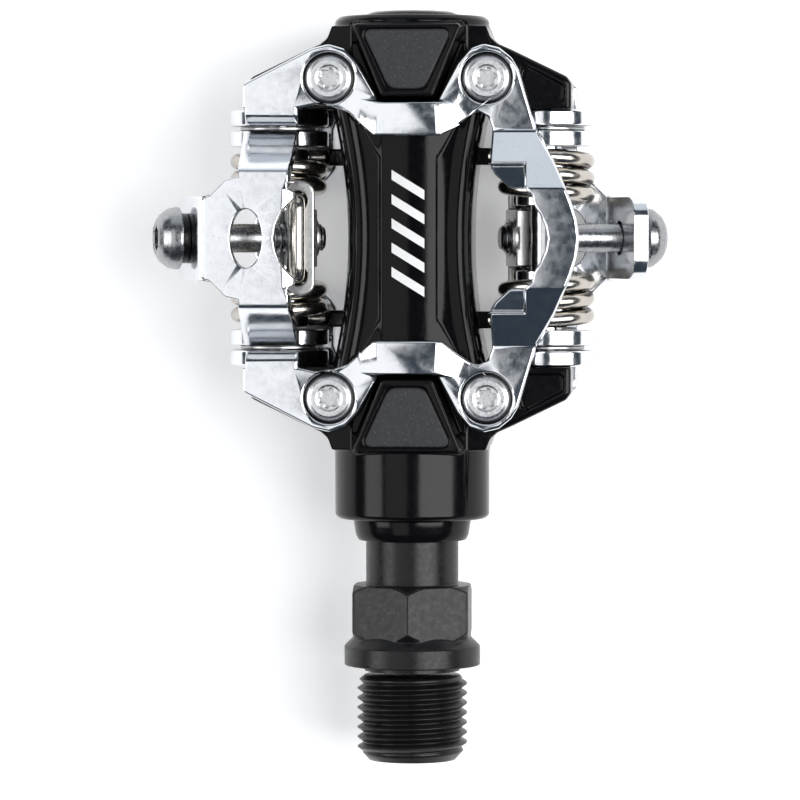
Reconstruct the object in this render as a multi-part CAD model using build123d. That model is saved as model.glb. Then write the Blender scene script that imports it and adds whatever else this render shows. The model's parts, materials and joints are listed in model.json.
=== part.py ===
from build123d import *
import os
from math import cos, pi, radians, sin, sqrt

# Clipless pedal, in millimetres.
# Y runs along the spindle and points away from the crank, X is fore and aft, Z is up out of the upper face.
# The origin is on the spindle axis, at the shoulder that seats against the crank.
# Shapes are written about the centre of the platform, then moved out along Y by PLATFORM_Y.
# The lower face is the upper face turned half a turn about the spindle axis.

PLATFORM_Y = 55.4

# fits
FIT = 0.05          # radial room of one piece on a pin or shaft
SEAT = 0.02         # radial room of a piece that is pressed or glued in

# spindle: lengths are y, measured from the centre of the platform
THREAD_R = 7.14     # 9/16 inch x 20 TPI pedal thread
THREAD_END_Y = -67.7
THREAD_TOP_Y = -56.7
NECK_R = 6.2
SHOULDER_Y = -PLATFORM_Y
FLANGE_R = 8.82
HEX_FLATS = 15.0
HEX_Y = (-52.0, -44.9)
SHAFT_R = 6.0
BUSH_R = 5.0
MID_R = 4.0
RACE_BORE_R = 3.0
STUD_R = 2.5

# body
HOUSING_R = 10.0
BODY_Y = (-36.3, 28.6)
EAR_Y = 16.5
EAR_Z = 6.7
PAD_Z = 10.6
WAIST_Z = 8.2
WAIST_X = 7.96
WAIST_END_X = 9.8

# plates
PLATE_Z = 9.0
PLATE_T = 2.2
BRIDGE_Z = 10.3
BRIDGE_Y = (13.1, 17.45)
SCREW_X = 10.1
SCREW_Y = 20.45
SCREW_HEAD_R = 2.85
SCREW_R = 1.5

# claws
CLAW_Z = 14.6
CLAW_T = 2.1
PIVOT_X = -17.35
PIN_R = 2.0
LUG_R = 6.45
CLAW_LUG_Y = (11.8, 13.8)
PLATE_LUG_Y = (14.4, 16.5)
WASHER_Y = (13.9, 14.3)
FLANGE_HALF = 5.45

# tension bolt: lengths are measured up its axis from the tip
TILT = 18.0
BOLT_TIP = (-11.3, 2.6)
SHANK_R = 1.85
SHANK_L = 19.0
BOLT_WASHER = (18.05, 19.0)
BOLT_HEAD_R = 4.05
BOLT_HEAD_L = 3.1
NUT_U = (1.6, 3.4)

# double torsion spring
WIRE_R = 1.0
COIL_R = 5.3
COIL_PITCH = 2.2
COIL_TURNS = 2.5
COIL_START_Y = 5.0
BAR_X = -14.2
TAB_Z = (6.45, 7.6)
LEG_END_X = -10.3


def mirrored(points):
    """A closed outline from its y > 0 half, listed from the y = 0 side round to the y = 0 side."""
    return list(points) + [(x, -y) for x, y in reversed(points) if abs(y) > 1e-6]


def outline(points):
    return make_face(Polyline(*points, close=True))


def slab(points, z_low, z_high):
    """An outline in the XY plane, raised from z_low to z_high."""
    return Pos(0, 0, z_low) * extrude(outline(points), amount=z_high - z_low)


def side_slab(points, y_low, y_high):
    """An outline in (x, z), carried along Y from y_low to y_high."""
    face = make_face(Polyline(*[(x, y_low, z) for x, z in points], close=True))
    return extrude(face, amount=y_high - y_low, dir=(0, 1, 0))


def end_slab(points, x_low, x_high):
    """An outline in (y, z), carried along X from x_low to x_high."""
    face = make_face(Polyline(*[(x_low, y, z) for y, z in points], close=True))
    return extrude(face, amount=x_high - x_low, dir=(1, 0, 0))


def turned(profile):
    """A solid turned about the Y axis from a closed outline of (radius, y) points."""
    return revolve(outline(profile), axis=Axis.Y)


def rod(radius, y_low, y_high, x=0.0, z=0.0):
    along_y = Plane(origin=(x, y_low, z), x_dir=(1, 0, 0), z_dir=(0, 1, 0))
    return extrude(along_y * Circle(radius), amount=y_high - y_low)


def tube(outer, inner, y_low, y_high, x=0.0, z=0.0):
    return rod(outer, y_low, y_high, x, z) - rod(inner, y_low - 1, y_high + 1, x, z)


def both_ends(shape):
    return shape + mirror(shape, about=Plane.XZ)


def group(shapes):
    """Separate solids that share one node."""
    return Compound([solid for shape in shapes for solid in shape.solids()])


# ---------------------------------------------------------------- spindle group

def spindle():
    profile = [
        (0, THREAD_END_Y), (THREAD_R - 1.5, THREAD_END_Y), (THREAD_R, THREAD_END_Y + 1.7),
        (THREAD_R, THREAD_TOP_Y), (NECK_R, THREAD_TOP_Y), (NECK_R, SHOULDER_Y + 0.3),
        (THREAD_R + 0.1, SHOULDER_Y + 0.3), (THREAD_R + 0.1, SHOULDER_Y), (FLANGE_R, SHOULDER_Y),
        (FLANGE_R, -52.9), (7.5, -51.6), (7.5, -51.0), (SHAFT_R, -51.0), (SHAFT_R, -37.5), (BUSH_R, -36.9),
        (BUSH_R, -17.5), (MID_R, -16.5), (MID_R, 17.4), (RACE_BORE_R, 18.0), (RACE_BORE_R, 23.4),
        (STUD_R, 23.4), (STUD_R, 26.2), (STUD_R - 0.4, 26.6), (0, 26.6),
    ]
    low, high = HEX_Y
    corner = HEX_FLATS / sqrt(3)
    across = Plane(origin=(0, low, 0), x_dir=(0, 0, 1), z_dir=(0, 1, 0))
    hexagon = extrude(across * RegularPolygon(corner, 6), amount=high - low)
    chamfered = turned([
        (0, low), (7.75, low), (corner, low + 1.1), (corner, high - 0.9), (7.7, high), (0, high),
    ])
    return turned(profile) + (hexagon & chamfered)


def spindle_bush():
    return tube(6.2 - SEAT, BUSH_R + FIT, -31.0, -20.0)


def spindle_seal():
    """A rubber ring with a thin lip that runs on the spindle."""
    return turned([
        (5.6, -33.2), (6.2 - SEAT, -33.2), (6.2 - SEAT, -31.1), (5.5, -31.1), (BUSH_R + FIT, -32.0),
        (BUSH_R + FIT, -32.4), (5.6, -32.1),
    ])


def bearing_inner_race():
    return turned([
        (RACE_BORE_R + SEAT, 18.2), (4.1, 18.2), (4.1, 19.6), (3.75, 20.2), (3.75, 21.4), (4.1, 22.0),
        (4.1, 23.2), (RACE_BORE_R + SEAT, 23.2),
    ])


def bearing_outer_race():
    return turned([
        (6.5 - SEAT, 18.2), (6.5 - SEAT, 23.2), (5.5, 23.2), (5.5, 22.0), (5.85, 21.4), (5.85, 20.2),
        (5.5, 19.6), (5.5, 18.2),
    ])


def bearing_balls():
    ball_count, ball_r, circle_r = 9, 1.0, 4.8
    balls = []
    for i in range(ball_count):
        angle = 2 * pi * i / ball_count
        balls.append(Pos(circle_r * cos(angle), 20.8, circle_r * sin(angle)) * Sphere(ball_r))
    return group(balls)


def bearing_shields():
    """A thin ring in each side of the bearing, held in the outer race and clear of the inner one."""
    return group([tube(5.45, 4.35, 18.25, 18.55), tube(5.45, 4.35, 22.85, 23.15)])


def spindle_washer():
    return tube(4.3, STUD_R + SEAT, 23.42, 24.0)


def spindle_locknut():
    across = Plane(origin=(0, 24.02, 0), x_dir=(0, 0, 1), z_dir=(0, 1, 0))
    nut = extrude(across * RegularPolygon(4.6, 6), amount=2.3)
    return (nut & turned([(0, 24.0), (4.3, 24.0), (4.6, 24.3), (4.6, 26.0), (4.1, 26.4), (0, 26.4)])) - rod(
        STUD_R + SEAT, 23, 27
    )


# ---------------------------------------------------------------- body group

def waist_section(y):
    """The tube between the bridges, cut square to the spindle: a raised spine, and a valley and rail each side."""
    w = WAIST_X + (WAIST_END_X - WAIST_X) * (y / 16.0) ** 2
    upper = [
        (1.8, WAIST_Z - 0.1), (3.4, WAIST_Z - 0.4), (3.8, WAIST_Z - 0.8), (w - 2.9, WAIST_Z - 1.0),
        (w - 2.2, WAIST_Z - 0.9), (w - 1.1, WAIST_Z - 1.2), (w - 0.35, WAIST_Z - 2.4), (w, 3.5),
    ]
    right = [(0, WAIST_Z)] + upper + [(x, -z) for x, z in reversed(upper)] + [(0, -WAIST_Z)]
    ring = right + [(-x, z) for x, z in reversed(right[1:-1])]
    return make_face(Polyline(*[(x, y, z) for x, z in ring], close=True))


def waist():
    return loft([waist_section(y) for y in (-17.0, -11.0, -5.5, 0.0, 5.5, 11.0, 17.0)])


def ears():
    """The two wings of the body that hold the plates and pivot pins, each with a shallow pocket in its top."""
    right = [
        (20.8, EAR_Y), (20.8, 19.8), (20.2, 20.7), (13.2, 24.1), (11.4, 24.9), (10.4, 25.8), (9.9, 27.2),
    ]
    block = slab(right + [(-x, y) for x, y in reversed(right)], -EAR_Z, EAR_Z)
    edges = [e for e in block.edges() if abs(abs(e.center().Z) - EAR_Z) < 0.01 and abs(e.center().X) > 10.2]
    block = chamfer(edges, 0.4)
    pocket = outline([(19.9, 17.4), (19.9, 19.5), (14.6, 22.3), (13.6, 17.4)])
    pocket = fillet(pocket.vertices(), 0.7)
    right_cut = Pos(0, 0, EAR_Z - 0.5) * extrude(pocket, amount=3)
    for cut in (right_cut, mirror(right_cut, about=Plane.YZ)):
        block -= cut
        block -= Rot(0, 180, 0) * cut
    return block


def pad():
    """The raised block that the shoe's sole rests on: drafted sides, rounded rim and a slightly sunk field."""
    base_z = 6.0
    base = outline([(-3.6, 17.5), (3.6, 17.5), (7.95, 27.9), (-7.95, 27.9)])
    base = fillet(base.vertices(), 1.1)
    block = Pos(0, 0, base_z) * extrude(base, amount=PAD_Z - base_z, taper=8)
    rim = block.faces().sort_by(Axis.Z)[-1]
    block = fillet(rim.edges(), 0.3)
    field = outline([(-2.35, 18.95), (2.35, 18.95), (5.9, 26.7), (-5.9, 26.7)])
    field = fillet(field.vertices(), 0.9)
    return block - Pos(0, 0, PAD_Z - 0.25) * extrude(field, amount=2)


def spring_ledge():
    """The step on the tube that a spring's straight leg pushes up against."""
    ledge_top = -COIL_R + WIRE_R
    section = [(-11.8, ledge_top + 0.03), (-7.5, ledge_top + 0.03), (-7.5, -2.2), (-11.0, -2.8)]
    return side_slab(section, 9.4, 11.6)


def pedal_body():
    low, high = BODY_Y
    housing = turned([
        (0, low), (HOUSING_R - 0.5, low), (HOUSING_R, low + 0.5), (HOUSING_R, -16.6), (0, -16.6),
    ]) + turned([
        (0, 16.6), (HOUSING_R, 16.6), (HOUSING_R, high - 0.6), (HOUSING_R - 0.6, high), (0, high),
    ])
    # flat seats for the plates, and room for them where they cross the tube
    seat = both_ends(slab([(-16, EAR_Y), (16, EAR_Y), (16, 25.0), (-16, 25.0)], EAR_Z + 0.05, 12))
    crossing = [(2.6, 8.4), (2.6, EAR_Z + 0.05), (16, EAR_Z + 0.05), (16, 12)]
    seat += both_ends(side_slab(crossing + [(-x, z) for x, z in reversed(crossing)], 12.9, EAR_Y))
    body = waist() + housing + both_ends(ears())
    body -= seat + Rot(0, 180, 0) * seat

    one_pad = pad()
    ledge = both_ends(spring_ledge())
    body += both_ends(one_pad) + both_ends(Rot(0, 180, 0) * one_pad)
    body += ledge + Rot(0, 180, 0) * ledge

    # stepped bore for the spindle, its bearings and the end cap
    body -= turned([
        (0, low - 1), (7.0, low - 1), (7.0, -33.4), (6.2, -33.4), (6.2, -19.8), (5.4, -19.0), (5.4, -17.0),
        (4.5, -16.0), (4.5, 17.0), (5.2, 18.0), (6.5, 18.0), (6.5, 24.4), (7.2, 24.6), (7.2, high + 1),
        (0, high + 1),
    ])
    for x in (-SCREW_X, SCREW_X):
        for y in (-SCREW_Y, SCREW_Y):
            hole = Cylinder(SCREW_R + FIT, 5.6, align=(Align.CENTER, Align.CENTER, Align.MIN))
            body -= Pos(x, y, 1.2) * hole
            body -= Pos(x, y, -1.2 - 5.6) * hole
    pin_room = both_ends(rod(PIN_R + SEAT, EAR_Y - 1, 18.3, x=PIVOT_X))
    return body - pin_room - Rot(0, 180, 0) * pin_room


def seal_collar():
    """A tapered collar pressed in the inner end of the housing, close around the spindle."""
    return turned([
        (5.3, -33.5), (7.0 - SEAT, -33.5), (7.0 - SEAT, -36.35), (7.6, -36.35), (7.6, -36.8), (7.35, -38.4),
        (7.0, -39.1), (SHAFT_R + FIT, -39.1), (SHAFT_R + FIT, -36.2), (5.3, -36.2),
    ])


def end_cap():
    """A screwed plug with a shallow domed face and a groove for its ring."""
    groove = 27.3
    cap = turned([
        (0, 26.9), (7.2 - SEAT, 26.9), (7.2 - SEAT, groove), (6.5, groove), (6.5, groove + 0.7),
        (7.2 - SEAT, groove + 0.7), (7.2 - SEAT, 28.3), (6.9, 28.5), (6.1, 28.5), (5.9, 28.9), (5.2, 29.2),
        (4.0, 29.3), (0, 29.3),
    ])
    socket = Plane(origin=(0, 27.9, 0), x_dir=(0, 0, 1), z_dir=(0, 1, 0)) * RegularPolygon(2.9, 6)
    return cap - extrude(socket, amount=2.5)


def end_cap_oring():
    groove_y = 27.65
    return revolve(Pos(6.84, groove_y) * Circle(0.32), axis=Axis.Y)


# ---------------------------------------------------------------- plate with the fixed claw

def left_wing():
    """The flat arm from the bridge past the screw to the pivot."""
    return slab([
        (-21.2, 16.5), (-21.2, 19.2), (-21.0, 19.8), (-12.2, 24.3), (-10.1, 24.8), (-8.0, 24.2), (-6.3, 22.3),
        (-4.1, 18.4), (-3.7, 17.45), (-3.7, 13.1), (-4.2, 13.1), (-6.0, 14.5), (-7.7, 16.1), (-9.8, 16.8),
        (-11.9, 17.0), (-14.4, 16.5),
    ], PLATE_Z - PLATE_T, PLATE_Z)


def right_wing():
    """The flat arm from the bridge past the screw to the root of the fixed claw."""
    return slab([
        (3.7, 17.45), (6.3, 22.3), (7.9, 24.2), (9.7, 24.8), (11.7, 24.3), (13.3, 23.0), (14.2, 21.5),
        (16.5, 13.7), (16.5, 12.9), (10.8, 12.9), (10.8, 14.1), (10.3, 15.5), (9.1, 16.1), (8.1, 15.8),
        (5.4, 14.0), (4.2, 13.1), (3.7, 13.1),
    ], PLATE_Z - PLATE_T, PLATE_Z)


def bridge():
    """The raised strap that crosses the tube between the two wings."""
    low, high = BRIDGE_Y
    flat, foot, under = 3.5, 6.2, PLATE_Z - PLATE_T
    strap = side_slab([
        (-foot, under), (-foot, PLATE_Z), (-flat, BRIDGE_Z), (flat, BRIDGE_Z), (foot, PLATE_Z), (foot, under),
        (3.6, under), (2.6, 8.5), (-2.6, 8.5), (-3.6, under),
    ], low, high)
    return strap & slab([
        (-4.4, low), (4.4, low), (6.2, low + 1.5), (6.2, high), (-6.2, high), (-6.2, low + 1.5),
    ], 0, 20)


def fixed_claw():
    """Two arms that rise from the wings to the arched claw, each with a lower lobe inside its bend."""
    outer = [(0, CLAW_Z), (6.3, CLAW_Z), (13.6, PLATE_Z), (16, PLATE_Z)]
    under = PLATE_Z - PLATE_T
    inner = [(16, under), (12.85, under), (5.42, CLAW_Z - CLAW_T), (0, CLAW_Z - CLAW_T)]
    bent = end_slab(outer + inner, 8, 24)
    arm = slab([
        (18.05, 0), (17.8, 1.5), (17.1, 3.0), (16.3, 4.3), (16.1, 5.4), (15.2, 6.3), (15.1, 9.5),
        (10.75, 9.5), (10.7, 10.3), (10.8, 13.6), (16.5, 13.6), (18.9, 9.6), (20.1, 7.0), (21.1, 4.6),
        (21.8, 2.4), (22.1, 0),
    ], 0, 20)
    lobe = end_slab([(9.9, 11.8), (9.3, 12.0), (6.0, 10.7), (6.0, 8.6), (9.9, 9.1)], 8, 15.3)
    lobe &= slab([
        (10.7, 10.3), (10.8, 8.9), (11.3, 8.1), (13.0, 6.5), (13.6, 6.3), (15.3, 6.3), (15.3, 10.3),
    ], 0, 20)
    return (bent & arm) + lobe


def plate_lug():
    """The bent-down ear of the wing that carries the pivot pin."""
    low, high = PLATE_LUG_Y
    side = [(-20.9, 0), (-20.9, PLATE_Z), (-14.2, PLATE_Z), (-12.4, 4.0), (-12.4, 0)]
    stem = side_slab(side, low, high + 0.2)
    top_edges = stem.edges().filter_by_position(Axis.Z, PLATE_Z - 0.01, PLATE_Z + 0.01)
    bend = [e for e in top_edges if abs(e.center().Y - low) < 0.01]
    stem = fillet(bend, 1.9)
    keep = slab([(-24, low), (-24, high), (-10, high), (-10, low)], -10, 7.5)
    return (stem & (keep + slab([(-24, low), (-24, 17), (-10, 17), (-10, low)], 6.8, 10))) + rod(
        LUG_R, low, high, x=PIVOT_X
    )


def plate():
    half = left_wing() + right_wing() + bridge() + fixed_claw() + plate_lug()
    seat = Pos(0, SCREW_Y, PLATE_Z - 1.5)
    for x in (-SCREW_X, SCREW_X):
        half -= Pos(x, 0, 0) * seat * Cylinder(3.3, 4, align=(Align.CENTER, Align.CENTER, Align.MIN))
        half -= Pos(x, 0, 0) * seat * Cylinder(SCREW_R + 0.15, 8)
    half -= rod(PIN_R + SEAT, 10, 18, x=PIVOT_X)
    half &= slab([(-30, 0), (30, 0), (30, 30), (-30, 30)], -20, 20)
    return both_ends(half)


def plate_screw():
    """A low button screw with a six-lobed recess in a shallow dish."""
    head_top, head_seat, tip = PLATE_Z - 0.1, PLATE_Z - 1.5, 1.5
    body = revolve(make_face(Polyline(
        (0, 0, tip), (SCREW_R - 0.3, 0, tip), (SCREW_R, 0, tip + 0.4), (SCREW_R, 0, head_seat + 0.02),
        (SCREW_HEAD_R, 0, head_seat + 0.02), (SCREW_HEAD_R, 0, head_top - 0.35),
        (SCREW_HEAD_R - 0.5, 0, head_top), (1.75, 0, head_top), (1.5, 0, head_top - 0.15),
        (0, 0, head_top - 0.15), close=True,
    )), axis=Axis.Z)
    star = Circle(1.05)
    for i in range(6):
        angle = pi / 3 * i
        star += Pos(1.0 * cos(angle), 1.0 * sin(angle)) * Circle(0.38)
    return body - Pos(0, 0, head_top - 1.1) * extrude(star, amount=2)


def plate_screws():
    one = plate_screw()
    spots = [(x, y) for x in (-SCREW_X, SCREW_X) for y in (-SCREW_Y, SCREW_Y)]
    return group([Pos(x, y, 0) * Rot(0, 0, 15) * one for x, y in spots])


def pivot_pin():
    pin = rod(PIN_R, -18.0, 18.0, x=PIVOT_X)
    return chamfer(pin.edges().filter_by(GeomType.CIRCLE), 0.3)


def pivot_washers():
    low, high = WASHER_Y
    one = tube(5.0, PIN_R + FIT, low, high, x=PIVOT_X)
    return group([one, mirror(one, about=Plane.XZ)])


def spring_sleeves():
    """Two plain tubes on the pin that the spring's coils sit round."""
    one = tube(3.9, PIN_R + FIT, 4.2, 11.5, x=PIVOT_X)
    return group([one, mirror(one, about=Plane.XZ)])


# ---------------------------------------------------------------- sprung claw group

def on_bolt_axis(length, across=0.0):
    """A point (x, z) at a length up the bolt's axis from its tip, and a distance above that axis."""
    along_x, along_z = -cos(radians(TILT)), sin(radians(TILT))
    x = BOLT_TIP[0] + along_x * length + along_z * across
    z = BOLT_TIP[1] + along_z * length - along_x * across
    return x, z


def bolt_plane(length):
    x, z = on_bolt_axis(length)
    return Plane(origin=(x, 0, z), x_dir=(0, 1, 0), z_dir=(-cos(radians(TILT)), 0, sin(radians(TILT))))


def bolt_turned(profile):
    """A solid turned about the bolt's axis from (radius, length up the axis) points."""
    tip = bolt_plane(0)
    points = [tip.from_local_coords(Vector(r, 0, length)) for r, length in profile]
    return revolve(make_face(Polyline(*points, close=True)), axis=Axis(tip.origin, tip.z_dir))


def claw_plate():
    plan = slab(mirrored([
        (-16.7, 0), (-16.45, 1.6), (-15.6, 3.5), (-14.1, 5.1), (-14.1, 5.9), (-14.9, 6.4), (-15.1, 7.8),
        (-21.2, 7.8), (-22.9, 7.4), (-23.5, 6.75), (-24.8, 5.45), (-25.6, 5.1), (-25.6, 0),
    ]), CLAW_Z - CLAW_T, CLAW_Z)
    window = Pos(-20.2, 0, CLAW_Z - 4) * extrude(Ellipse(2.05, 3.7), amount=8)
    lip = side_slab([(-15.4, CLAW_Z + 1), (-15.4, CLAW_Z), (-13, CLAW_Z - 1.3), (-13, CLAW_Z + 1)], -6.2, 6.2)
    return plan - window - lip


def claw_arm():
    """One arm of the sprung claw, from the top plate down to its pivot lug."""
    low, high = CLAW_LUG_Y
    bent = end_slab([
        (7.0, CLAW_Z), (7.8, CLAW_Z), (8.7, 14.35), (9.4, 13.6), (high, 6.6), (high, -LUG_R), (low, -LUG_R),
        (low, 6.0), (8.2, 12.1), (7.4, CLAW_Z - CLAW_T), (7.0, CLAW_Z - CLAW_T),
    ], -24, -10)
    side = side_slab([(-21.2, 16), (-15.0, 16), (-14.5, 12), (-14.3, 3.0), (-21.2, 3.0)], 5, 15)
    side += rod(LUG_R, 5, 15, x=PIVOT_X)
    return bent & side


def claw_flange():
    """The turned-down tongue at the back of the claw, square to the tension bolt."""
    outer = BOLT_WASHER[0] - 0.02
    face_low, face_high = -7.0, 4.9
    tongue = side_slab([
        (-25.2, CLAW_Z), (-26.3, 14.2), on_bolt_axis(outer, face_high), on_bolt_axis(outer, face_low),
        on_bolt_axis(outer - 2.0, face_low), on_bolt_axis(outer - 2.0, face_high), (-25.0, CLAW_Z - CLAW_T),
    ], -FLANGE_HALF, FLANGE_HALF)
    corners = [e for e in tongue.edges() if abs(e.length - 2.0) < 0.01 and e.center().Z < 2]
    return fillet(corners, 3.0)


def claw():
    arm = claw_arm()
    shape = claw_plate() + claw_flange() + both_ends(arm)
    shape -= rod(PIN_R + FIT, -15, 15, x=PIVOT_X)
    return shape - bolt_turned([(0, 10), (SHANK_R + 0.3, 10), (SHANK_R + 0.3, 20), (0, 20)])


def tension_bolt():
    """A domed screw with a hexagon socket, one per claw."""
    base = SHANK_L
    bolt = bolt_turned([
        (0, 0), (SHANK_R - 0.45, 0), (SHANK_R, 0.5), (SHANK_R, base + 0.02), (BOLT_HEAD_R - 0.15, base + 0.02),
        (BOLT_HEAD_R, base + 0.35), (BOLT_HEAD_R - 0.25, base + 1.5), (BOLT_HEAD_R - 1.0, base + 2.5),
        (BOLT_HEAD_R - 1.9, base + BOLT_HEAD_L), (0, base + BOLT_HEAD_L),
    ])
    socket = extrude(bolt_plane(base + 0.9) * RegularPolygon(1.5, 6, major_radius=False), amount=4)
    return bolt - socket


def bolt_washer():
    low, high = BOLT_WASHER
    return bolt_turned([(SHANK_R + 0.1, low), (3.2, low), (3.2, high), (SHANK_R + 0.1, high)])


def tension_nut():
    """The threaded plate on the bolt, with the bent tab that the spring's loop presses on."""
    low, high = NUT_U
    upright = side_slab([
        on_bolt_axis(low, -2.15), on_bolt_axis(high, -2.15), on_bolt_axis(high, 3.4), (-15.6, TAB_Z[0] + 0.05),
        (-15.6, TAB_Z[1]), (-12.1, TAB_Z[1]), (-12.1, TAB_Z[0]), on_bolt_axis(low, 3.4),
    ], -3.7, 3.7)
    tab_face = RectangleRounded(3.5, 14.6, 1.5)
    tab = Pos((-15.6 - 12.1) / 2, 0, TAB_Z[0]) * extrude(tab_face, amount=TAB_Z[1] - TAB_Z[0])
    boss = bolt_turned([
        (0, low - 0.7), (2.35, low - 0.7), (2.6, low - 0.45), (2.6, low + 0.3), (0, low + 0.3),
    ])
    nut = upright + tab + boss
    for y in (-4.85, 4.85):
        nut -= Pos(BAR_X, y, 7) * Cylinder(WIRE_R + 0.2, 6)
    return nut - bolt_turned([(0, -3), (SHANK_R + FIT, -3), (SHANK_R + FIT, 8), (0, 8)])


def wire_straight(start, end):
    axis = Vector(*end) - Vector(*start)
    return extrude(Plane(origin=start, z_dir=axis) * Circle(WIRE_R), amount=axis.length)


def wire_joint(point):
    return Pos(*point) * Sphere(WIRE_R)


def half_spring():
    """One coil of the double spring, with its leg and half of the centre loop."""
    coil_end_y = COIL_START_Y + COIL_TURNS * COIL_PITCH
    helix = Helix(pitch=COIL_PITCH, height=COIL_TURNS * COIL_PITCH, radius=COIL_R)
    wire = sweep(Plane(origin=helix @ 0, z_dir=helix % 0) * Circle(WIRE_R), path=helix, is_frenet=True)
    # the helix starts at +X and climbs +Z: laid along Y, it starts on top of the coil
    wire = Plane(origin=(PIVOT_X, COIL_START_Y, 0), x_dir=(0, 0, 1), z_dir=(0, 1, 0)) * wire
    top = (PIVOT_X, COIL_START_Y, COIL_R)
    turn = (BAR_X, COIL_START_Y - 0.15, COIL_R)
    bar_end = (BAR_X, COIL_START_Y - 0.15, TAB_Z[1] + WIRE_R + 0.03)
    bottom = (PIVOT_X, coil_end_y, -COIL_R)
    leg_end = (LEG_END_X, coil_end_y, -COIL_R)
    wire += wire_straight(top, turn) + wire_joint(top) + wire_joint(turn)
    wire += wire_straight(turn, bar_end) + wire_joint(bar_end)
    wire += wire_straight(bar_end, (BAR_X, 0, bar_end[2]))
    return wire + wire_joint(bottom) + wire_straight(bottom, leg_end)


def spring():
    return both_ends(half_spring())


# ---------------------------------------------------------------- the whole pedal

CENTRE_PIECES = {
    "spindle": spindle,
    "spindle_bush": spindle_bush,
    "spindle_seal": spindle_seal,
    "bearing_inner_race": bearing_inner_race,
    "bearing_outer_race": bearing_outer_race,
    "bearing_balls": bearing_balls,
    "bearing_shields": bearing_shields,
    "spindle_washer": spindle_washer,
    "spindle_locknut": spindle_locknut,
    "pedal_body": pedal_body,
    "seal_collar": seal_collar,
    "end_cap": end_cap,
    "end_cap_oring": end_cap_oring,
}
FACE_PIECES = {
    "plate": plate,
    "plate_screws": plate_screws,
    "pivot_pin": pivot_pin,
    "pivot_washers": pivot_washers,
    "spring_sleeves": spring_sleeves,
    "claw": claw,
    "spring": spring,
    "tension_bolt": tension_bolt,
    "bolt_washer": bolt_washer,
    "tension_nut": tension_nut,
}

os.makedirs("parts", exist_ok=True)
out_along_spindle = Pos(0, PLATFORM_Y, 0)
for name, make in CENTRE_PIECES.items():
    export_step(out_along_spindle * make(), f"parts/{name}.step")
for name, make in FACE_PIECES.items():
    shape = make()
    export_step(out_along_spindle * shape, f"parts/top_{name}.step")
    export_step(out_along_spindle * Rot(0, 180, 0) * shape, f"parts/bottom_{name}.step")
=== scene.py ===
import json
from math import cos, pi, radians, sin, tan

import bmesh
import bpy
from mathutils import Matrix, Vector


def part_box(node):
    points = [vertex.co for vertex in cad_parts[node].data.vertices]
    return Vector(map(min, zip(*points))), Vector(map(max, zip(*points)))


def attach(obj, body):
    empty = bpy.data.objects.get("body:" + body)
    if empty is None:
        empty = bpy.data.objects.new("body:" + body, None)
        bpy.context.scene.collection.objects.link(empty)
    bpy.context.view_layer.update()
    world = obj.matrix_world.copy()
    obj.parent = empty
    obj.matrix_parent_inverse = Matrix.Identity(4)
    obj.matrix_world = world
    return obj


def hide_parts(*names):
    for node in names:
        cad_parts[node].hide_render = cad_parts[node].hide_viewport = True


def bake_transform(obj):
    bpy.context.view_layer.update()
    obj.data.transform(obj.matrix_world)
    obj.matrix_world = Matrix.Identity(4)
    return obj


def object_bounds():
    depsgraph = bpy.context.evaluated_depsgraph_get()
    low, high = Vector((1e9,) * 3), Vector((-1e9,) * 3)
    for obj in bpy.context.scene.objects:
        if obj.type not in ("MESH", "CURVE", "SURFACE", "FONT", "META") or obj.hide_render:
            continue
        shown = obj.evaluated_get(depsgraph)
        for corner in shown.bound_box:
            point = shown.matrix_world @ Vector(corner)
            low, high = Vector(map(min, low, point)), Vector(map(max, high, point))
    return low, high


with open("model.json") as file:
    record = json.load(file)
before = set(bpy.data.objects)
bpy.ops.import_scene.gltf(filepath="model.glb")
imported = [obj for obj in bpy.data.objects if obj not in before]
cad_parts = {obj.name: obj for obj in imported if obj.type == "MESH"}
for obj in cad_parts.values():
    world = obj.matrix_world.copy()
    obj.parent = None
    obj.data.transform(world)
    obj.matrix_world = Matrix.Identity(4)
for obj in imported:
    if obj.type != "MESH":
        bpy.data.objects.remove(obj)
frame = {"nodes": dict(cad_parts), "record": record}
cad_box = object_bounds()
NODES = frame["nodes"]

MM = 0.001
FACES = ("top", "bottom")
WELD_MM = 0.002
FLAT_ANGLE = 0.4      # degrees: triangles closer than this are one flat
BEVEL_ANGLE = 28      # degrees: sharper edges are rounded
BEVEL_SEGMENTS = 3
CAP_RINGS = 3         # rings in the domed end of a wire
CAP_STEP = pi / 6.4
CAP_HEIGHT = 0.55     # share of the wire's radius
DEEPEST_PAINTED_SHADE = 0.85   # share of the painted shade's colour deep in a gap
PLATFORM_Y = 0.5 * (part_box("top_pivot_pin")[0].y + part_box("top_pivot_pin")[1].y) / MM
SPINDLE_TIP_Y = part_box("spindle")[0].y / MM


# ------------------------------------------------------------------ node materials

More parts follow.
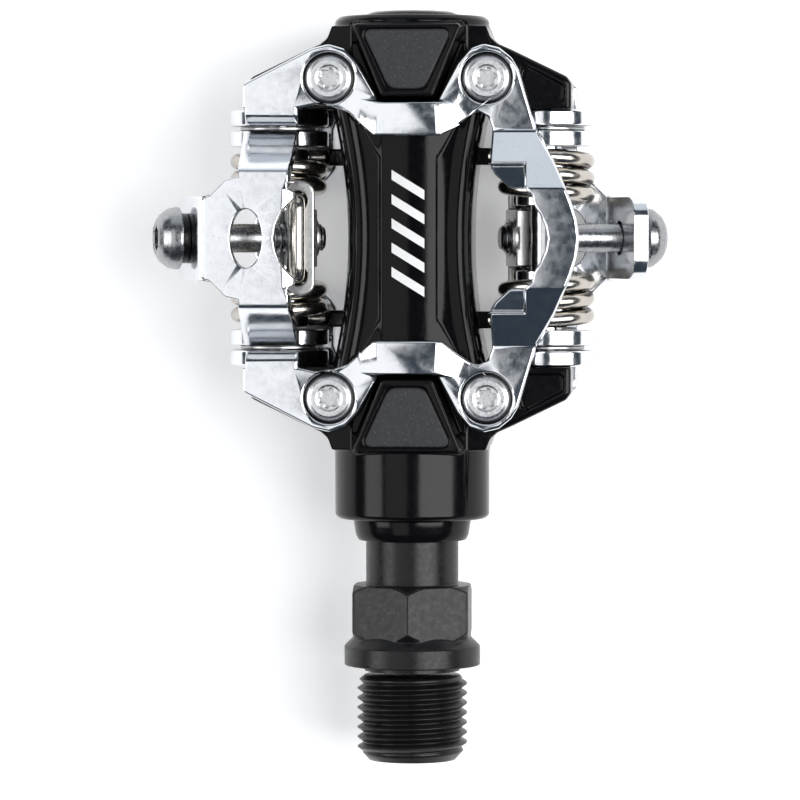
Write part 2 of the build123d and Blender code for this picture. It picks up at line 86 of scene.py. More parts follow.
class Shader:
    """A small helper for building one node material."""

    def __init__(self, name):
        self.material = bpy.data.materials.new(name)
        self.material.use_nodes = True
        self.tree = self.material.node_tree
        self.bsdf = self.tree.nodes["Principled BSDF"]
        self.coords = self.tree.nodes.new("ShaderNodeTexCoord").outputs["Object"]

    def set(self, **values):
        for name, value in values.items():
            self.bsdf.inputs[name.replace("_", " ").title().replace("Ior", "IOR")].default_value = value
        return self

    def node(self, kind, **settings):
        made = self.tree.nodes.new(kind)
        for name, value in settings.items():
            setattr(made, name, value)
        return made

    def link(self, output, target):
        self.tree.links.new(output, target)

    def noise(self, size_mm, detail=3.0, roughness=0.55, stretch=(1, 1, 1)):
        """Noise whose features are about size_mm across."""
        mapping = self.node("ShaderNodeMapping")
        self.link(self.coords, mapping.inputs["Vector"])
        mapping.inputs["Scale"].default_value = tuple(s / (size_mm * MM) for s in stretch)
        noise = self.node("ShaderNodeTexNoise")
        self.link(mapping.outputs["Vector"], noise.inputs["Vector"])
        noise.inputs["Scale"].default_value = 1.0
        noise.inputs["Detail"].default_value = detail
        noise.inputs["Roughness"].default_value = roughness
        return noise.outputs["Fac"]

    def cells(self, size_mm):
        """Distance to the nearest of scattered points about size_mm apart."""
        mapping = self.node("ShaderNodeMapping")
        self.link(self.coords, mapping.inputs["Vector"])
        mapping.inputs["Scale"].default_value = (1 / (size_mm * MM),) * 3
        cells = self.node("ShaderNodeTexVoronoi", feature="F1")
        self.link(mapping.outputs["Vector"], cells.inputs["Vector"])
        cells.inputs["Scale"].default_value = 1.0
        return cells.outputs["Distance"]

    def remap(self, source, from_range, to_range):
        node = self.node("ShaderNodeMapRange")
        self.link(source, node.inputs["Value"])
        node.inputs["From Min"].default_value, node.inputs["From Max"].default_value = from_range
        node.inputs["To Min"].default_value, node.inputs["To Max"].default_value = to_range
        return node.outputs["Result"]

    def mix(self, factor, low, high):
        """A colour between low and high; each is a colour or a socket."""
        node = self.node("ShaderNodeMix", data_type="RGBA")
        self.link(factor, node.inputs["Factor"])
        for value, socket in ((low, node.inputs["A"]), (high, node.inputs["B"])):
            if isinstance(value, tuple):
                socket.default_value = (*value, 1.0)
            else:
                self.link(value, socket)
        return node.outputs["Result"]

    def painted_crevice_shade(self, reach_mm):
        """Painted shade from ambient occlusion: near 1 deep in narrow gaps and 0 in the open."""
        # ambient occlusion turned into a mask for painted shade where little light reaches
        node = self.node("ShaderNodeAmbientOcclusion", samples=6)
        node.inputs["Distance"].default_value = reach_mm * MM
        return self.remap(node.outputs["AO"], (0.15, 0.62), (DEEPEST_PAINTED_SHADE, 0.0))

    def bump(self, *layers):
        """Bump layers as (height, depth in mm), the coarsest first."""
        normal = None
        for height, depth_mm in layers:
            node = self.node("ShaderNodeBump")
            node.inputs["Strength"].default_value = 1.0
            node.inputs["Distance"].default_value = depth_mm * MM
            self.link(height, node.inputs["Height"])
            if normal is not None:
                self.link(normal, node.inputs["Normal"])
            normal = node.outputs["Normal"]
        self.link(normal, self.bsdf.inputs["Normal"])

    def colour(self, output):
        self.link(output, self.bsdf.inputs["Base Color"])

    def roughness(self, output):
        self.link(output, self.bsdf.inputs["Roughness"])


def chrome():
    """Chrome plate on stamped steel: faint ripples, fine peel and pits, painted shade in the crevices."""
    s = Shader("chrome").set(metallic=1.0)
    plate = s.mix(s.noise(9, 3), (0.70, 0.72, 0.75), (0.84, 0.85, 0.87))
    pits = s.remap(s.noise(0.30, 3, 0.7), (0.60, 0.72), (0.0, 0.35))
    # painted shade: the colour goes to near black deep in narrow gaps
    s.colour(s.mix(s.painted_crevice_shade(0.8), s.mix(pits, plate, (0.28, 0.30, 0.34)), (0.05, 0.05, 0.055)))
    s.roughness(s.remap(s.noise(1.1, 4, 0.6), (0.35, 0.7), (0.10, 0.19)))
    s.bump((s.noise(6.0, 1), 0.006), (s.noise(0.42, 2, 0.5), 0.0016), (s.noise(0.16, 2, 0.6), 0.0010))
    return s.material


def gloss_black(name, ior, haze):
    """Gloss black coating over a cast body: deep black with a light grain; haze is its lowest roughness."""
    s = Shader(name).set(metallic=0.0, ior=ior)
    s.colour(s.mix(s.noise(0.5, 4, 0.7), (0.0015, 0.0015, 0.002), (0.004, 0.004, 0.0045)))
    s.roughness(s.remap(s.noise(0.8, 4, 0.6), (0.3, 0.7), (haze, haze + 0.09)))
    s.bump((s.noise(2.5, 2), 0.012), (s.noise(0.22, 3, 0.6), 0.004))
    return s.material


def pad_grip():
    """Matt, lightly pebbled field on the pads."""
    s = Shader("pad_grip").set(metallic=0.0)
    speck = s.remap(s.cells(0.45), (0.10, 0.35), (1.0, 0.0))
    s.colour(s.mix(speck, (0.012, 0.0125, 0.014), (0.035, 0.036, 0.04)))
    s.roughness(s.remap(s.noise(0.6, 3), (0.3, 0.7), (0.5, 0.68)))
    s.bump((s.noise(0.45, 4, 0.65), 0.05))
    return s.material


def black_oxide():
    """Black oxide on machined steel: oily satin with fine pits and turning marks."""
    s = Shader("black_oxide").set(metallic=0.12, ior=1.36)
    s.colour(s.mix(s.noise(1.6, 4, 0.65), (0.002, 0.002, 0.0025), (0.009, 0.009, 0.0095)))
    s.roughness(s.remap(s.noise(0.7, 4, 0.65), (0.3, 0.7), (0.24, 0.42)))
    s.bump((s.noise(0.35, 3, 0.6), 0.008), (s.noise(0.12, 2, 0.5, stretch=(0.2, 3.0, 0.2)), 0.003))
    return s.material


def zinc():
    """Satin zinc plate with a fine grain, with painted shade in its recesses."""
    s = Shader("zinc").set(metallic=1.0)
    plate = s.mix(s.noise(0.45, 4, 0.7), (0.56, 0.565, 0.57), (0.82, 0.825, 0.83))
    # painted shade: the colour goes dark grey deep in narrow gaps
    s.colour(s.mix(s.painted_crevice_shade(0.9), plate, (0.10, 0.10, 0.10)))
    s.roughness(s.remap(s.noise(0.3, 3), (0.3, 0.7), (0.24, 0.40)))
    s.bump((s.noise(0.22, 3, 0.6), 0.006))
    return s.material


def raw_steel():
    """Oiled, blackened steel of the tension bolts: grey with darker clouds, and painted shade in its gaps."""
    s = Shader("raw_steel").set(metallic=1.0)
    plate = s.mix(s.noise(0.8, 4, 0.7), (0.20, 0.205, 0.215), (0.46, 0.465, 0.475))
    # painted shade: the colour goes near black deep in narrow gaps
    s.colour(s.mix(s.painted_crevice_shade(0.8), plate, (0.03, 0.03, 0.03)))
    s.roughness(s.remap(s.noise(0.5, 3), (0.3, 0.7), (0.20, 0.36)))
    s.bump((s.noise(0.3, 3, 0.6), 0.008))
    return s.material


def spring_wire():
    """Warm nickel-plated wire, faintly mottled, with painted shade between the turns."""
    s = Shader("spring_wire").set(metallic=1.0)
    wire = s.mix(s.noise(1.5, 3), (0.40, 0.365, 0.32), (0.60, 0.57, 0.52))
    # painted shade: the colour goes near black deep between the turns
    s.colour(s.mix(s.painted_crevice_shade(1.2), wire, (0.03, 0.028, 0.025)))
    s.roughness(s.remap(s.noise(0.5, 4), (0.3, 0.7), (0.14, 0.28)))
    s.bump((s.noise(0.3, 3), 0.004))
    return s.material


def nickel():
    """Satin nickel plate on the tension nut, with painted shade in its corners."""
    s = Shader("nickel").set(metallic=1.0)
    plate = s.mix(s.noise(1.0, 3), (0.46, 0.46, 0.455), (0.62, 0.62, 0.61))
    # painted shade: the colour goes dark grey deep in narrow gaps
    s.colour(s.mix(s.painted_crevice_shade(1.5), plate, (0.06, 0.06, 0.06)))
    s.roughness(s.remap(s.noise(0.5, 4), (0.3, 0.7), (0.26, 0.40)))
    s.bump((s.noise(0.4, 3), 0.003))
    return s.material


def ground_steel():
    """Ground bearing steel with a fine grain drawn out along the spindle."""
    s = Shader("ground_steel").set(metallic=1.0)
    s.colour(s.mix(s.noise(1.2, 3), (0.55, 0.55, 0.56), (0.68, 0.68, 0.69)))
    s.roughness(s.remap(s.noise(0.5, 4), (0.3, 0.7), (0.12, 0.24)))
    s.bump((s.noise(0.15, 2, 0.5, stretch=(1, 0.15, 1)), 0.003))
    return s.material


def dark_polymer():
    """Moulded dark plastic, lightly grained."""
    s = Shader("dark_polymer").set(metallic=0.0)
    s.colour(s.mix(s.noise(0.8, 3), (0.03, 0.028, 0.026), (0.06, 0.056, 0.05)))
    s.roughness(s.remap(s.noise(0.5, 3), (0.3, 0.7), (0.5, 0.65)))
    s.bump((s.noise(0.3, 3), 0.01))
    return s.material


def seal_rubber():
    """Matt black rubber."""
    s = Shader("seal_rubber").set(metallic=0.0)
    s.colour(s.mix(s.noise(0.7, 3), (0.012, 0.012, 0.012), (0.03, 0.03, 0.03)))
    s.roughness(s.remap(s.noise(0.4, 3), (0.3, 0.7), (0.6, 0.8)))
    s.bump((s.noise(0.25, 3), 0.012))
    return s.material


def print_white():
    """Screen-printed white ink, a little uneven."""
    s = Shader("print_white").set(metallic=0.0)
    s.colour(s.mix(s.noise(0.5, 4), (0.62, 0.62, 0.62), (0.8, 0.8, 0.79)))
    s.roughness(s.remap(s.noise(0.3, 3), (0.3, 0.7), (0.35, 0.5)))
    s.bump((s.noise(0.2, 3), 0.004))
    return s.material


MATERIALS = {
    "chrome": chrome(),
    "black_body": gloss_black("black_body", 1.26, 0.12),
    "black_tube": gloss_black("black_tube", 1.24, 0.07),
    "pad_grip": pad_grip(),
    "black_oxide_steel": black_oxide(),
    "zinc_steel": zinc(),
    "spring_wire": spring_wire(),
    "bolt": raw_steel(),
    "nickel_plate": nickel(),
    "bearing_steel": ground_steel(),
    "bush_polymer": dark_polymer(),
    "shield_plastic": dark_polymer(),
    "seal_rubber": seal_rubber(),
    "print": print_white(),
}


def paint(obj, slot):
    obj.data.materials.clear()
    obj.data.materials.append(MATERIALS[slot])


# ------------------------------------------------------------------ mesh helpers

def new_piece(name, mesh, look, body=None):
    """A shown piece with one of MATERIALS, hung under the named body's empty when a body is given."""
    obj = bpy.data.objects.new(name, mesh)
    bpy.context.scene.collection.objects.link(obj)
    paint(obj, look)
    if body:
        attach(obj, body)
    return obj


def mesh_from(name, points_mm, faces):
    mesh = bpy.data.meshes.new(name)
    mesh.from_pydata([Vector(p) * MM for p in points_mm], [], faces)
    mesh.update()
    mesh.shade_smooth()
    return mesh


def welded(mesh):
    """Joins points that lie together and turns the faces outward."""
    work = bmesh.new()
    work.from_mesh(mesh)
    bmesh.ops.remove_doubles(work, verts=work.verts, dist=WELD_MM * MM)
    bmesh.ops.recalc_face_normals(work, faces=work.faces)
    work.to_mesh(mesh)
    work.free()
    return mesh


def filled(mesh):
    """Closes the open ends of a tube."""
    work = bmesh.new()
    work.from_mesh(mesh)
    bmesh.ops.holes_fill(work, edges=[e for e in work.edges if e.is_boundary])
    bmesh.ops.recalc_face_normals(work, faces=work.faces)
    work.to_mesh(mesh)
    work.free()
    return mesh


def soften(obj, width_mm):
    """Joins the coplanar triangles of a CAD piece, rounds its sharp edges and keeps its flats flat."""
    weld = obj.modifiers.new("weld", "WELD")
    weld.merge_threshold = WELD_MM * MM
    flats = obj.modifiers.new("flats", "DECIMATE")
    flats.decimate_type = "DISSOLVE"
    flats.angle_limit = radians(FLAT_ANGLE)
    facets = obj.modifiers.new("facets", "TRIANGULATE")
    facets.min_vertices = 5
    bevel = obj.modifiers.new("bevel", "BEVEL")
    bevel.loop_slide = False
    bevel.width = width_mm * MM
    bevel.segments = BEVEL_SEGMENTS
    bevel.limit_method = "ANGLE"
    bevel.angle_limit = radians(BEVEL_ANGLE)
    bevel.use_clamp_overlap = False
    normals = obj.modifiers.new("normals", "WEIGHTED_NORMAL")
    normals.mode = "FACE_AREA"
    normals.weight = 100
    obj.data.shade_smooth()


def ring_faces(ring_count, sides):
    """Quads between neighbouring rings of a tube, with the same number of points in each."""
    faces = []
    for r in range(ring_count - 1):
        for k in range(sides):
            a, b = r * sides + k, r * sides + (k + 1) % sides
            faces.append((a, b, b + sides, a + sides))
    return faces


def corner_curve(a, corner, b, steps):
    """Points on a smooth curve from a to b that leaves and arrives along the lines to the corner."""
    out = []
    for i in range(steps + 1):
        t = i / steps
        out.append(a * (1 - t) ** 2 + corner * 2 * t * (1 - t) + b * t * t)
    return out


def to_face(points, face):
    """Points of the upper face, or the same turned half a turn about the spindle for the lower face."""
    if face == "top":
        return [Vector(p) for p in points]
    return [Vector((-p[0], p[1], -p[2])) for p in points]


def tube_mesh(name, path, radius, sides=20):
    """A round wire along a path of points in mm, with domed ends."""
    path = [Vector(p) for p in path]
    rings = []
    normal = None
    count = len(path)
    for i, point in enumerate(path):
        ahead = path[min(i + 1, count - 1)] - path[max(i - 1, 0)]
        ahead.normalize()
        if normal is None:
            normal = ahead.orthogonal()
        normal = (normal - ahead * normal.dot(ahead)).normalized()
        side = ahead.cross(normal)
        rings.append([
            point + radius * (cos(2 * pi * k / sides) * normal + sin(2 * pi * k / sides) * side)
            for k in range(sides)
        ])
    for end, inner in ((0, 1), (-1, -2)):
        outward = (path[end] - path[inner]).normalized()
        caps = []
        for step in range(1, CAP_RINGS + 1):
            turn = step * CAP_STEP
            caps.append([
                path[end] + (p - path[end]) * cos(turn) + outward * radius * CAP_HEIGHT * sin(turn)
                for p in rings[end]
            ])
        rings = (caps[::-1] + rings) if end == 0 else (rings + caps)
    points = [p for ring in rings for p in ring]
    faces = ring_faces(len(rings), sides)
    faces.append(tuple(range(sides))[::-1])
    faces.append(tuple(range(len(points) - sides, len(points))))
    return welded(mesh_from(name, points, faces))


def rounded_path(corners, radius, steps=8):
    """A polyline in mm with each inner corner rounded."""
    corners = [Vector(c) for c in corners]
    out = [corners[0]]
    for before, corner, after in zip(corners, corners[1:], corners[2:]):
        to_before, to_after = (before - corner), (after - corner)
        reach = min(radius, 0.49 * to_before.length, 0.49 * to_after.length)
        a = corner + to_before.normalized() * reach
        b = corner + to_after.normalized() * reach
        out += corner_curve(a, corner, b, steps)
    out.append(corners[-1])
    return out


# ------------------------------------------------------------------ spindle with its cut thread

THREAD_R = 7.14
THREAD_PITCH = 1.27
THREAD_DEPTH = 0.74
THREAD_LENGTH = 11.0
THREAD_CHAMFER = 1.5
NECK_R = 6.2
CUT_ABOVE_THREAD = 0.6
SPINDLE_EDGE_MM = 0.18


def thread_mesh(tip_y, top_y, major_r, pitch, depth, core_r, chamfer, sides=144):
    """The skin of a screw thread along Y, fading into a chamfer at the tip and a neck at the top."""
    profile = [
        (0.0, 0.0), (0.07, 0.03), (0.12, 0.14), (0.44, 0.92),
        (0.49, 1.0), (0.58, 1.0), (0.63, 0.92), (0.93, 0.1),
    ]
    turns = int((top_y - tip_y) / pitch) + 3
    points, faces = [], []
    rows = turns * len(profile)
    for i in range(sides + 1):
        turn = i / sides
        for j in range(rows):
            along, height = profile[j % len(profile)]
            y = tip_y + pitch * (j // len(profile) + along + turn - 2)
            y = min(max(y, tip_y), top_y)
            radius = major_r - depth * (1 - height)
            from_tip = y - tip_y
            radius = min(radius, major_r - chamfer + from_tip * 0.9)
            radius = min(radius, core_r + (top_y - y) * 1.2)
            angle = 2 * pi * turn
            points.append((radius * sin(angle), y, radius * cos(angle)))
    for i in range(sides):
        for j in range(rows - 1):
            a = i * rows + j
            faces.append((a, a + 1, a + rows + 1, a + rows))
    return points, faces


def spindle_piece():
    """The CAD spindle with its plain threaded end cut away and a real thread in its place."""
    shaft = bmesh.new()
    shaft.from_mesh(NODES["spindle"].data)
    bmesh.ops.remove_doubles(shaft, verts=shaft.verts, dist=WELD_MM * MM)
    cut_y = SPINDLE_TIP_Y + THREAD_LENGTH + CUT_ABOVE_THREAD
    geometry = shaft.verts[:] + shaft.edges[:] + shaft.faces[:]
    bmesh.ops.bisect_plane(
        shaft, geom=geometry, plane_co=(0, cut_y * MM, 0), plane_no=(0, 1, 0), clear_inner=True
    )
    mesh = bpy.data.meshes.new("spindle_shaft")
    shaft.to_mesh(mesh)
    shaft.free()
    upper = new_piece("spindle_shaft", mesh, "black_oxide_steel")
    soften(upper, SPINDLE_EDGE_MM)

    points, faces = thread_mesh(
        SPINDLE_TIP_Y, SPINDLE_TIP_Y + THREAD_LENGTH,
        THREAD_R, THREAD_PITCH, THREAD_DEPTH, NECK_R, THREAD_CHAMFER,
    )
    thread = filled(welded(mesh_from("spindle_thread", points, faces)))
    new_piece("spindle_thread", thread, "black_oxide_steel", "spindle")
    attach(upper, "spindle")
    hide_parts("spindle")


# ------------------------------------------------------------------ springs

PIVOT_X = -17.35
COIL_R = 5.3
WIRE_R = 1.0
COIL_PITCH = 2.2
COIL_TURNS = 2.5
COIL_START_Y = 5.0
BAR_X = -14.2
BAR_Z = 8.63
LEG_END_X = -10.4
LOOP_CORNER_R = 1.5


def coil_path(side):
    """From under the nut's tab, round the coil and out along the straight leg."""
    points = [(BAR_X + 0.9, COIL_START_Y - 0.15, COIL_R), (BAR_X - 1.0, COIL_START_Y - 0.1, COIL_R)]
    steps = int(COIL_TURNS * 40)
    for i in range(steps + 1):
        turned = 2 * pi * COIL_TURNS * i / steps
        points.append((
            PIVOT_X - COIL_R * sin(turned),
            COIL_START_Y + COIL_PITCH * turned / (2 * pi),
            COIL_R * cos(turned),
        ))
    end_y = COIL_START_Y + COIL_PITCH * COIL_TURNS
    points += [(PIVOT_X + t * (LEG_END_X - PIVOT_X), end_y, -COIL_R) for t in (0.25, 0.5, 0.75, 1.0)]
    return [(x, side * y + PLATFORM_Y, z) for x, y, z in points]


def loop_path():
    """The centre loop: up through one hole of the nut's tab, along it and down through the other."""
    half_y = COIL_START_Y - 0.15
    corners = [
        (BAR_X, half_y, COIL_R), (BAR_X, half_y, BAR_Z), (BAR_X, -half_y, BAR_Z), (BAR_X, -half_y, COIL_R),
    ]
    return [(x, y + PLATFORM_Y, z) for x, y, z in rounded_path(corners, LOOP_CORNER_R)]


def spring_pieces():
    for face in FACES:
        loop_wire = tube_mesh("wire", to_face(loop_path(), face), WIRE_R)
        loop = new_piece(f"{face}_spring_loop", loop_wire, "spring_wire", f"{face}_nut")
        for side, word in ((1, "outer"), (-1, "inner")):
            path = to_face(coil_path(side), face)
            obj = new_piece(f"{face}_spring_{word}", tube_mesh("wire", path, WIRE_R), "spring_wire")
            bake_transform(obj)
        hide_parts(f"{face}_spring")


# ------------------------------------------------------------------ tension bolts with cut threads

BOLT_TILT = 18.0
BOLT_TIP = (-11.3, 2.6)
BOLT_THREAD_R = 1.86
BOLT_THREAD_LENGTH = 7.5
BOLT_PITCH = 0.7
BOLT_THREAD_DEPTH = 0.38
BOLT_CORE_R = 1.5
BOLT_CHAMFER = 0.45
BOLT_EDGE_MM = 0.2


def bolt_pieces():
    """Each CAD bolt keeps its head and plain shank, and a real thread replaces the rest."""
    lean = radians(BOLT_TILT)
    for face in FACES:
        turn = 1 if face == "top" else -1
        axis = Vector((-cos(lean) * turn, 0, sin(lean) * turn))
        tip = Vector((BOLT_TIP[0] * turn, PLATFORM_Y, BOLT_TIP[1] * turn))
        head = bmesh.new()
        head.from_mesh(NODES[f"{face}_tension_bolt"].data)
        bmesh.ops.remove_doubles(head, verts=head.verts, dist=WELD_MM * MM)
        bmesh.ops.bisect_plane(
            head, geom=head.verts[:] + head.edges[:] + head.faces[:],
            plane_co=(tip + axis * BOLT_THREAD_LENGTH) * MM, plane_no=axis, clear_inner=True,
        )
        mesh = bpy.data.meshes.new("bolt_head")
        head.to_mesh(mesh)
        head.free()
        upper = new_piece(f"{face}_bolt_head", mesh, "bolt")
        soften(upper, BOLT_EDGE_MM)
        points, faces = thread_mesh(
            0, BOLT_THREAD_LENGTH,
            BOLT_THREAD_R, BOLT_PITCH, BOLT_THREAD_DEPTH, BOLT_CORE_R, BOLT_CHAMFER, sides=72,
        )
        stand = Vector((0, 1, 0)).rotation_difference(axis)
        points = [stand @ Vector(p) + tip for p in points]
        thread = filled(welded(mesh_from("thread", points, faces)))
        new_piece(f"{face}_bolt_thread", thread, "bolt", f"{face}_bolt")
        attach(upper, f"{face}_bolt")
        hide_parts(f"{face}_tension_bolt")


# ------------------------------------------------------------------ body tube, pads and mark

SPINE_Z = 8.27
SPINE_X = 3.55
SPINE_CURVE = 0.034        # fall of the spine, per mm of x squared
TUBE_WAIST = 7.96          # half width at the middle
TUBE_FLARE = 1.84          # what it gains at TUBE_FLARE_Y
TUBE_FLARE_Y = 16.0
SKIN = 0.05                # how far the smooth skin stands outside the CAD tube
TUBE_HALF_LENGTH = 16.55
TUBE_RINGS = 97
PAD_RIM = ((-2.3, 19.0), (2.3, 19.0), (5.84, 26.65), (-5.84, 26.65))
PAD_CORNER_R = 1.3
PAD_MIDDLE_Y = 23.2
# (scale about the middle, height in mm), from the rim inward
PAD_CROWN = ((1.0, 10.36), (0.985, 10.44), (0.95, 10.49), (0.9, 10.50), (0.45, 10.50), (0.0, 10.50))
PRINT_LIFT = 0.02


def tube_half_width(y):
    return TUBE_WAIST + TUBE_FLARE * (y / TUBE_FLARE_Y) ** 2 + SKIN


def spine_height(x):
    return SPINE_Z - SPINE_CURVE * x * x


def tube_section(y):
    """Right upper quarter of the tube's section: spine, valley, rail and side, as (x, z)."""
    w = tube_half_width(y)
    flute = max(0.0, abs(y) - 10.4)
    facet_x = SPINE_X + 0.25 + 0.55 * flute
    facet_z = 7.50 - 0.02 * flute
    points = [(x, spine_height(x)) for x in (0.0, 0.8, 1.6, 2.4, 3.0, 3.4)]
    points.append((SPINE_X, spine_height(SPINE_X) - 0.05))
    valley_x = w - 2.95
    if flute > 0 and facet_x < valley_x:
        points += [(facet_x - 0.12, facet_z + 0.10), (facet_x, facet_z), (facet_x + 0.12, facet_z - 0.12)]
    else:
        points += [(SPINE_X + 0.14, 7.62), (SPINE_X + 0.30, 7.52), (SPINE_X + 0.5, 7.46)]
    blend_x = points[-1][0]
    points += [
        (blend_x + 0.5 * (valley_x - blend_x), 7.33), (valley_x, 7.28), (w - 2.5, 7.36), (w - 2.1, 7.47),
        (w - 1.7, 7.48), (w - 1.3, 7.38), (w - 0.95, 7.13), (w - 0.6, 6.68), (w - 0.3, 6.08), (w - 0.1, 5.35),
        (w, 4.5), (w, 2.3), (w, 0.0),
    ]
    return points


def body_tube():
    """A smooth skin over the CAD body's tube, with its spine, valleys, fluted ends and rounded rails."""
    rings = []
    for i in range(TUBE_RINGS):
        y = -TUBE_HALF_LENGTH + 2 * TUBE_HALF_LENGTH * i / (TUBE_RINGS - 1)
        quarter = tube_section(y)
        right = quarter[:-1] + [(x, -z) for x, z in reversed(quarter)]
        ring = right + [(-x, z) for x, z in reversed(right[1:-1])]
        rings.append([(x, y + PLATFORM_Y, z) for x, z in ring])
    sides = len(rings[0])
    points = [p for ring in rings for p in ring]
    mesh = welded(mesh_from("body_tube", points, ring_faces(TUBE_RINGS, sides)))
    tube = new_piece("body_tube", mesh, "black_tube", "pedal_body")
    smooth = tube.modifiers.new("smooth", "SUBSURF")
    smooth.levels = smooth.render_levels = 1


def rounded_outline(corners, radius, steps=6):
    """A closed outline in (x, y) with each corner rounded."""
    loop = [Vector((x, y, 0)) for x, y in corners]
    out = []
    for i, corner in enumerate(loop):
        before, after = loop[i - 1] - corner, loop[(i + 1) % len(loop)] - corner
        reach = min(radius, 0.45 * before.length, 0.45 * after.length)
        a, b = corner + before.normalized() * reach, corner + after.normalized() * reach
        out += corner_curve(a, corner, b, steps)
    return out


def pad_fields():
    """The matt pebbled insert in the sunk field of each pad, slightly crowned at its rim."""
    for face in FACES:
        for end, word in ((1, "outer"), (-1, "inner")):
            rim = rounded_outline(PAD_RIM, PAD_CORNER_R)
            middle = Vector((0, PAD_MIDDLE_Y, 0))
            rings = []
            for inset, height in PAD_CROWN:
                rings.append([
                    Vector((middle.x + (p.x - middle.x) * inset, middle.y + (p.y - middle.y) * inset, height))
                    for p in rim
                ])
            points = [(p.x, end * p.y + PLATFORM_Y, p.z) for ring in rings for p in ring]
            faces = ring_faces(len(rings), len(rim))
            mesh = welded(mesh_from("field", to_face(points, face), faces))
            new_piece(f"{face}_pad_field_{word}", mesh, "pad_grip", "pedal_body")


def on_spine(name, outline, look, lift, face, grid=0.35):
    """A thin patch with the given (x, y) outline, laid on the curved spine."""
    sheet = bmesh.new()
    verts = [sheet.verts.new((x, y, 0)) for x, y in outline]
    sheet.faces.new(verts)
    lowest = min(x for x, _ in outline)
    steps = int((max(x for x, _ in outline) - lowest) / grid)
    for i in range(1, steps + 1):
        bmesh.ops.bisect_plane(
            sheet, geom=sheet.verts[:] + sheet.edges[:] + sheet.faces[:],
            plane_co=(lowest + i * grid, 0, 0), plane_no=(1, 0, 0),
        )
    for v in sheet.verts:
        place = to_face([(v.co.x, v.co.y + PLATFORM_Y, spine_height(v.co.x) + lift)], face)[0]
        v.co = place * MM
    bmesh.ops.recalc_face_normals(sheet, faces=sheet.faces)
    outward = 1 if face == "top" else -1
    if sum(f.normal.z for f in sheet.faces) * outward < 0:
        bmesh.ops.reverse_faces(sheet, faces=sheet.faces)
    mesh = bpy.data.meshes.new(name)
    sheet.to_mesh(mesh)
    sheet.free()
    mesh.shade_smooth()
    return new_piece(f"{face}_{name}", mesh, look, "pedal_body")


def marks():
    """A plain row of slanted bars printed along the spine."""
    bar_count = 5
    bar_pitch = 3.1
    bar_depth = 1.25
    half_width = 2.1
    slant = 1.3
    for face in FACES:
        for i in range(bar_count):
            y = (i - (bar_count - 1) / 2) * bar_pitch
            near, far = y - slant, y + slant
            bar = [
                (half_width, near), (half_width, near + bar_depth),
                (-half_width, far + bar_depth), (-half_width, far),
            ]
            on_spine(f"printed_bar_{i + 1}", bar, "print", PRINT_LIFT, face)


# ------------------------------------------------------------------ carried-over CAD pieces

EDGE_MM = {
    "plate": 0.35, "claw": 0.2, "tension_nut": 0.22, "plate_screws": 0.04, "bolt_washer": 0.15,
    "spring_sleeves": 0.15, "pedal_body": 0.25,
}
OTHER_EDGE_MM = 0.1


def finish_cad_pieces():
    for entry in frame["record"]["subparts"]:
        name = entry["node"]
        obj = NODES[name]
        paint(obj, entry["material_slot"])
        kind = name.split("_", 1)[1] if name.startswith(FACES) else name
        soften(obj, EDGE_MM.get(kind, OTHER_EDGE_MM))


# ------------------------------------------------------------------ stage, lights and camera

FLOOR_HALF = 3.0
FLOOR_GAP = 0.0001
FLOOR_GLOW = 0.27
WORLD_COLOUR = (0.035, 0.048, 0.065, 1)
EYE = (0.041, 0.002, 0.598)        # the camera, in metres from the middle of the platform
AIM = (-0.0016, -0.021, 0)         # the point it looks at
LENS = 208
SENSOR = 36


def soft_box(name, lean_x, lean_y, spread, reach, length, radiance, colour=(1, 1, 1)):
    """A flat light aimed at the pedal. It leans from the vertical by lean_x degrees towards +X, or by
    lean_y degrees towards +Y, and fills spread degrees either side that way. reach is its distance and
    length its other side, in metres."""
    light = bpy.data.lights.new(name, "AREA")
    light.shape = "RECTANGLE"
    depth = 2 * reach * tan(radians(spread))
    light.size, light.size_y = (depth, length) if lean_x else (length, depth)
    light.energy = radiance * pi * light.size * light.size_y
    light.color = colour
    obj = bpy.data.objects.new(name, light)
    bpy.context.scene.collection.objects.link(obj)
    a, b = radians(lean_x), radians(lean_y)
    centre = Vector((0, PLATFORM_Y * MM, 0))
    obj.location = centre + Vector((sin(a), sin(b), cos(a) * cos(b))) * reach
    obj.rotation_euler = (-b, a, 0)


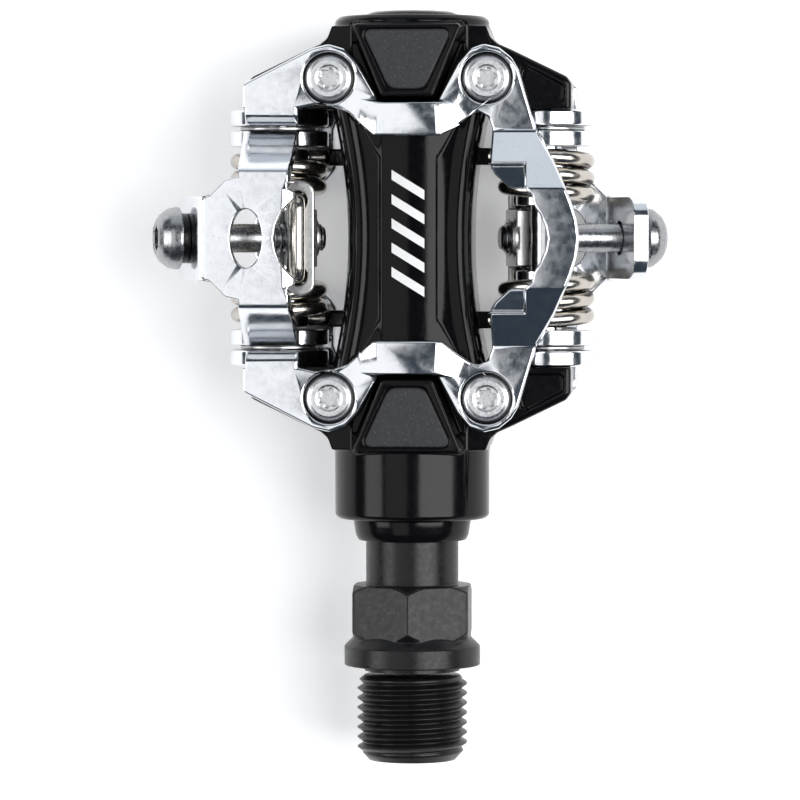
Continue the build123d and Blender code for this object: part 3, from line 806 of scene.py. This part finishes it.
def stage():
    floor_z = cad_box[0].z - FLOOR_GAP
    size = FLOOR_HALF
    mesh = bpy.data.meshes.new("floor")
    corners = [(-size, -size, floor_z), (size, -size, floor_z), (size, size, floor_z), (-size, size, floor_z)]
    mesh.from_pydata(corners, [], [(0, 1, 2, 3)])
    floor = bpy.data.objects.new("floor", mesh)
    bpy.context.scene.collection.objects.link(floor)
    s = Shader("floor_paper").set(metallic=0.0, roughness=0.9, specular_ior_level=0.1)
    s.colour(s.mix(s.noise(30, 3), (0.86, 0.86, 0.86), (0.89, 0.89, 0.89)))
    s.set(emission_color=(1, 1, 1, 1), emission_strength=FLOOR_GLOW)
    floor.data.materials.append(s.material)

    world = bpy.data.worlds.new("studio")
    bpy.context.scene.world = world
    world.use_nodes = True
    back = world.node_tree.nodes["Background"]
    back.inputs["Color"].default_value = WORLD_COLOUR
    back.inputs["Strength"].default_value = 1.0
    soft_box("overhead_box", -19.9, 0, 16.0, 0.95, 1.1, 1.15)
    soft_box("left_box", -56.0, 0, 14.0, 0.9, 0.6, 4.5)
    soft_box("right_box", 40.0, 0, 26.0, 0.9, 0.55, 6.5)
    soft_box("far_card", 0, 72.0, 20.0, 0.9, 1.2, 0.8, (0.9, 0.95, 1.0))


def camera():
    """The lens looks almost straight down on the upper face from far off."""
    centre = Vector((0, PLATFORM_Y * MM, 0))
    eye = centre + Vector(EYE)
    target = centre + Vector(AIM)
    forward = (target - eye).normalized()
    right = forward.cross(Vector((0, 1, 0))).normalized()
    up = right.cross(forward)
    data = bpy.data.cameras.new("camera")
    data.lens = LENS
    data.sensor_width = SENSOR
    data.clip_start, data.clip_end = 0.01, 10
    obj = bpy.data.objects.new("camera", data)
    bpy.context.scene.collection.objects.link(obj)
    obj.matrix_world = Matrix((
        (right.x, up.x, -forward.x, eye.x),
        (right.y, up.y, -forward.y, eye.y),
        (right.z, up.z, -forward.z, eye.z),
        (0, 0, 0, 1),
    ))
    bpy.context.scene.camera = obj


finish_cad_pieces()
spindle_piece()
spring_pieces()
bolt_pieces()
body_tube()
pad_fields()
marks()
stage()
camera()
bpy.context.scene.view_settings.view_transform = "Standard"
